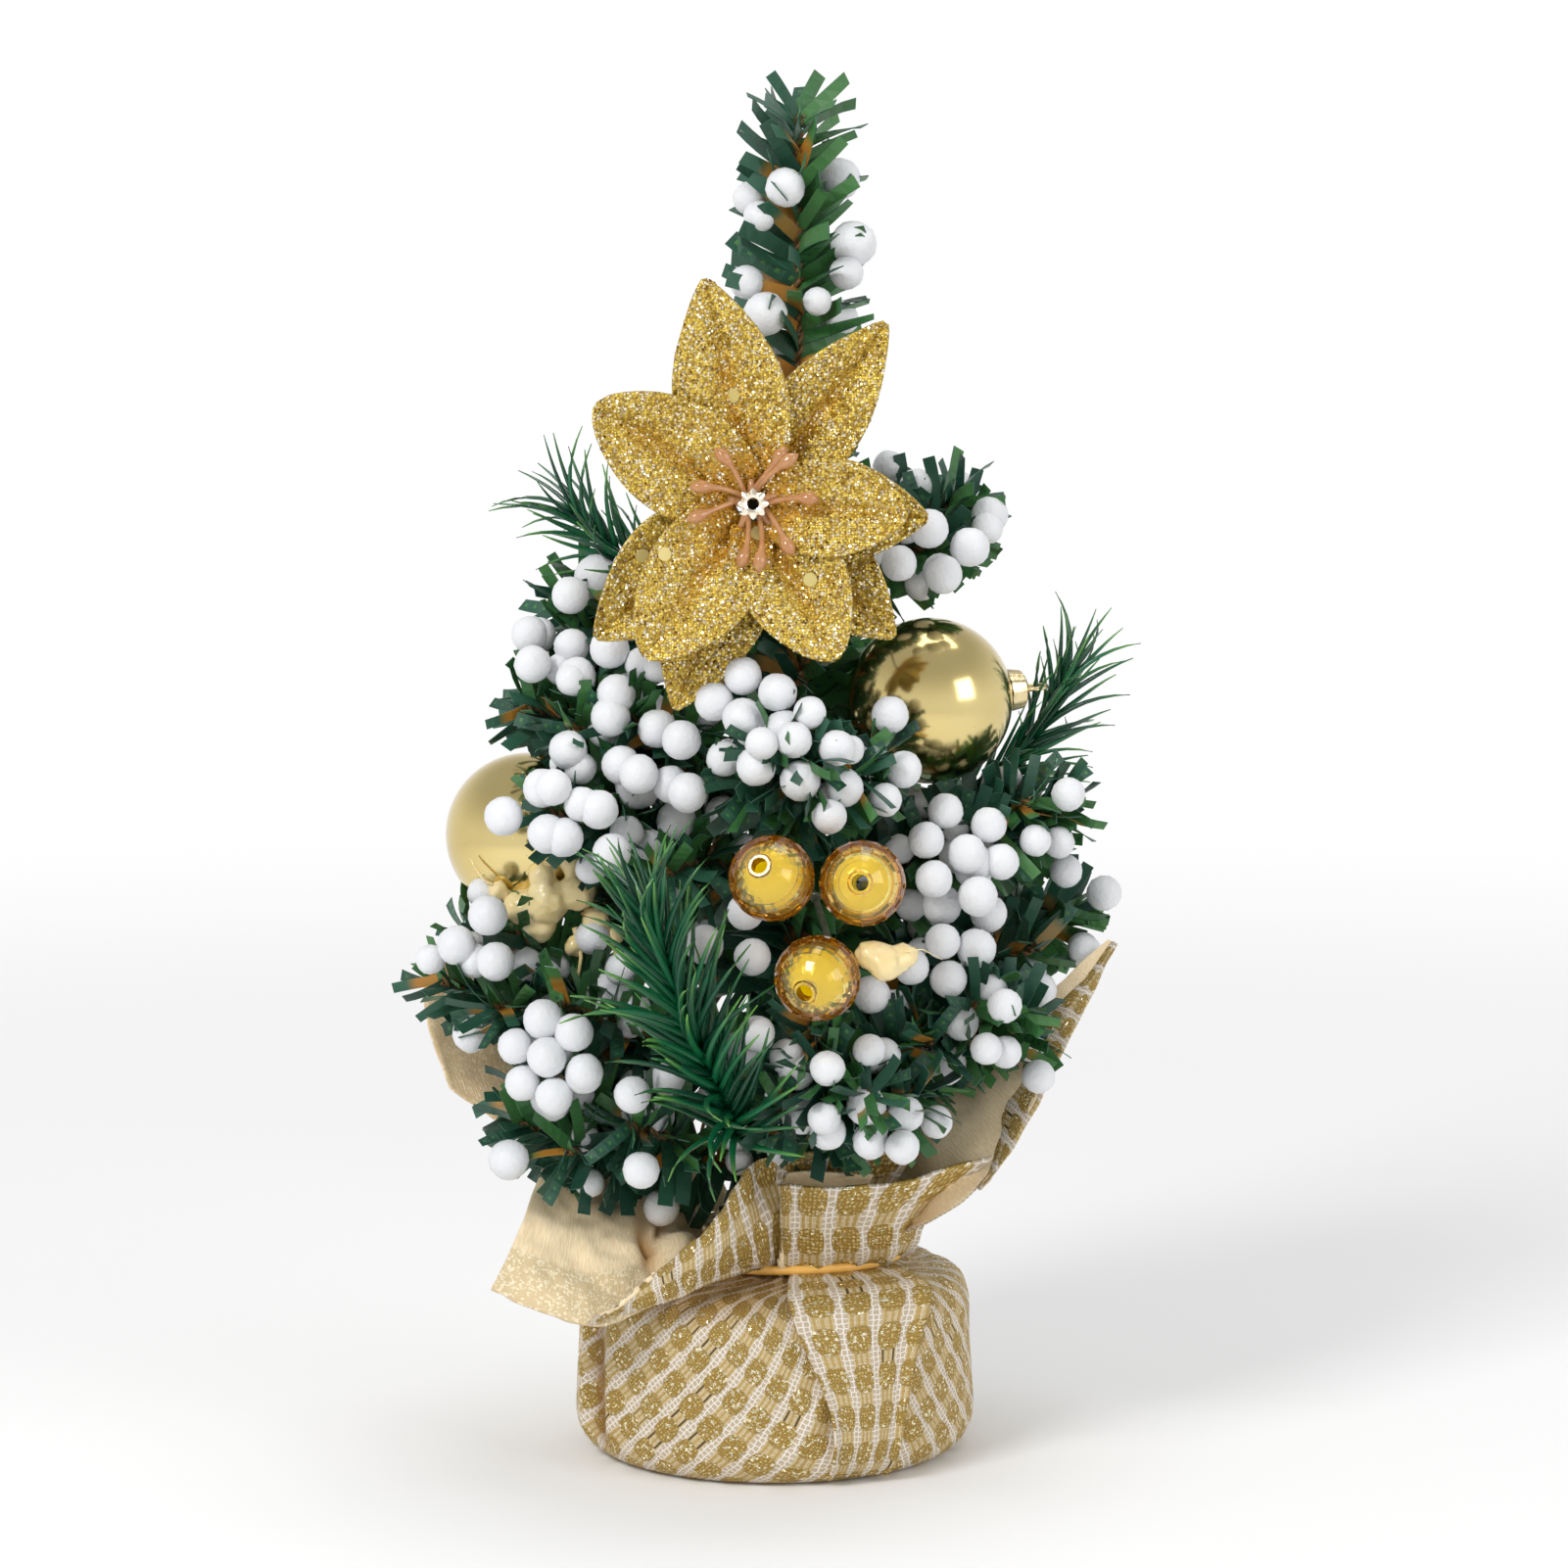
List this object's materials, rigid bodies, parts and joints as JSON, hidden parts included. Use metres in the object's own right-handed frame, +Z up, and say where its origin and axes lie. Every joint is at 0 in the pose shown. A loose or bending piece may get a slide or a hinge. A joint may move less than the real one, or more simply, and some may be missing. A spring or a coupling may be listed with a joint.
{
  "type": "artificial tabletop tree",
  "caption": "Artificial tabletop tree: tinsel stems that bend at a wire trunk, with foam berries, a glitter flower and gold ornaments, standing in a cloth-wrapped weighted base.",
  "frame": {"origin": "centre of the flat underside of the cloth-wrapped base", "axes": "+Z up along the trunk, -Y the front with the flower and beads, +X to the right seen from the front"},
  "size_m": [0.1025, 0.0908, 0.2],
  "materials": {
    "plaster": "dry cast plaster, off-white, never seen",
    "cloth_gold": "knitted lurex cloth: gold ribbed pads in columns on a cream mesh",
    "cloth_lining": "soft beige non-woven reverse of the cloth, slight sheen",
    "rubber_band": "amber natural rubber, satin",
    "trunk_tape": "twisted steel wires under wound brown and green film",
    "tinsel": "clipped PVC film strips, dark blue-green and mid green faces, ochre near the wire",
    "foam": "white foam, matt with a faint skin",
    "glitter_cloth": "gold glitter on stiff cloth, sparkling",
    "stamen_plastic": "clear copper-tinted plastic",
    "brass": "thin pressed metal, bright",
    "wire": "thin soft steel wire",
    "gold_plate": "vacuum-plated gold, mirror-like",
    "hot_glue": "set hot-melt glue, cloudy yellow, glossy",
    "amber_acrylic": "clear amber acrylic, faceted",
    "bead_core": "opaque yellow plastic",
    "pine_plastic": "moulded soft plastic, dark green with yellow-green tips"
  },
  "bodies": {
    "tree": {"bead_core_1": "bead_core", "bead_core_2": "bead_core", "bead_core_3": "bead_core", "bead_shell_1": "amber_acrylic", "bead_shell_2": "amber_acrylic", "bead_shell_3": "amber_acrylic", "bead_wires": "wire", "flower_eyelet": "brass", "flower_wire": "wire", "glue_beads": "hot_glue", "petals_back": "glitter_cloth", "petals_front": "glitter_cloth", "pine_sprig_front": "pine_plastic", "plaster_puck": "plaster", "rubber_band": "rubber_band", "stamens": "stamen_plastic", "trunk": "trunk_tape", "wrap_corner_back": "cloth_lining", "wrap_corner_left": "cloth_lining", "wrap_corner_right": "cloth_lining", "wrap_front_panel": "cloth_gold", "wrap_pouch": "cloth_gold", "wrap_tail": "cloth_gold"},
    "branch_right_top": {"stem_right_top": "tinsel", "berries_right_top": "foam"},
    "branch_left_top": {"stem_left_top": "tinsel", "berries_left_top": "foam", "pine_sprig_left": "pine_plastic"},
    "branch_left_mid": {"stem_left_mid": "tinsel", "berries_left_mid": "foam"},
    "branch_front_mid": {"stem_front_mid": "tinsel", "berries_front_mid": "foam"},
    "branch_right_mid": {"stem_right_mid": "tinsel", "berries_right_mid": "foam", "ball_right": "gold_plate", "ball_right_cap": "brass", "pine_sprig_right": "pine_plastic"},
    "branch_left_front": {"stem_left_front": "tinsel", "berries_left_front": "foam", "ball_left": "gold_plate", "ball_left_cap": "brass", "glue_ball_left": "hot_glue"},
    "branch_right_back": {"stem_right_back": "tinsel", "berries_right_back": "foam"},
    "branch_left_low": {"stem_left_low": "tinsel", "berries_left_low": "foam"},
    "branch_left_bottom": {"stem_left_bottom": "tinsel", "berries_left_bottom": "foam"},
    "branch_front_low": {"stem_front_low": "tinsel", "berries_front_low": "foam"},
    "branch_right_low": {"stem_right_low": "tinsel", "berries_right_low": "foam"},
    "branch_back_left": {"stem_back_left": "tinsel", "berries_back_left": "foam"},
    "branch_back_right": {"stem_back_right": "tinsel", "berries_back_right": "foam"},
    "branch_back_top": {"stem_back_top": "tinsel", "berries_back_top": "foam"},
    "leader": {"stem_leader": "tinsel", "berries_leader": "foam"}
  },
  "joints": [
    {"name": "bend_right_top", "type": "hinge", "parent": "tree", "child": "branch_right_top", "pos_m": [0.00656, 0.00054, 0.12743], "axis": [0.1736, -0.9848, 0], "range_deg": [-20, 25]},
    {"name": "bend_left_top", "type": "hinge", "parent": "tree", "child": "branch_left_top", "pos_m": [0.00046, -0.00016, 0.1142], "axis": [-0.0523, 0.9986, 0], "range_deg": [-20, 20]},
    {"name": "bend_left_mid", "type": "hinge", "parent": "tree", "child": "branch_left_mid", "pos_m": [0.00062, -0.00099, 0.09867], "axis": [-0.3256, 0.9455, 0], "range_deg": [-12, 20]},
    {"name": "bend_front_mid", "type": "hinge", "parent": "tree", "child": "branch_front_mid", "pos_m": [0.00361, -0.00307, 0.0935], "axis": [-0.9994, -0.0349, 0], "range_deg": [-20, 20]},
    {"name": "bend_right_mid", "type": "hinge", "parent": "tree", "child": "branch_right_mid", "pos_m": [0.00653, -0.00064, 0.082], "axis": [-0.2079, -0.9781, 0], "range_deg": [-20, 8]},
    {"name": "bend_left_front", "type": "hinge", "parent": "tree", "child": "branch_left_front", "pos_m": [0.00093, -0.00167, 0.0843], "axis": [-0.5446, 0.8387, 0], "range_deg": [-16, 8]},
    {"name": "bend_right_back", "type": "hinge", "parent": "tree", "child": "branch_right_back", "pos_m": [0.00659, 0.00049, 0.06187], "axis": [0.1564, -0.9877, 0], "range_deg": [-5, 20]},
    {"name": "bend_left_low", "type": "hinge", "parent": "tree", "child": "branch_left_low", "pos_m": [0.00049, -0.00053, 0.05382], "axis": [-0.1736, 0.9848, 0], "range_deg": [-14, 11]},
    {"name": "bend_left_bottom", "type": "hinge", "parent": "tree", "child": "branch_left_bottom", "pos_m": [0.00081, -0.00131, 0.04118], "axis": [-0.4384, 0.8988, 0], "range_deg": [-3, 11]},
    {"name": "bend_front_low", "type": "hinge", "parent": "tree", "child": "branch_front_low", "pos_m": [0.00424, -0.00297, 0.04693], "axis": [-0.9703, -0.2419, 0], "range_deg": [-5, 14]},
    {"name": "bend_right_low", "type": "hinge", "parent": "tree", "child": "branch_right_low", "pos_m": [0.00597, -0.00193, 0.0521], "axis": [-0.6157, -0.788, 0], "range_deg": [-20, 25]},
    {"name": "bend_back_left", "type": "hinge", "parent": "tree", "child": "branch_back_left", "pos_m": [0.00112, 0.002, 0.06705], "axis": [0.6428, 0.766, 0], "range_deg": [-20, 25]},
    {"name": "bend_back_right", "type": "hinge", "parent": "tree", "child": "branch_back_right", "pos_m": [0.00519, 0.00261, 0.07165], "axis": [0.8387, -0.5446, 0], "range_deg": [-20, 25]},
    {"name": "bend_back_top", "type": "hinge", "parent": "tree", "child": "branch_back_top", "pos_m": [0.00312, 0.00313, 0.10615], "axis": [0.9925, 0.1219, 0], "range_deg": [-20, 25]},
    {"name": "bend_leader", "type": "hinge", "parent": "tree", "child": "leader", "pos_m": [0.0035, 0, 0.149], "axis": [0, 1, 0], "range_deg": [-20, 20]}
  ]
}
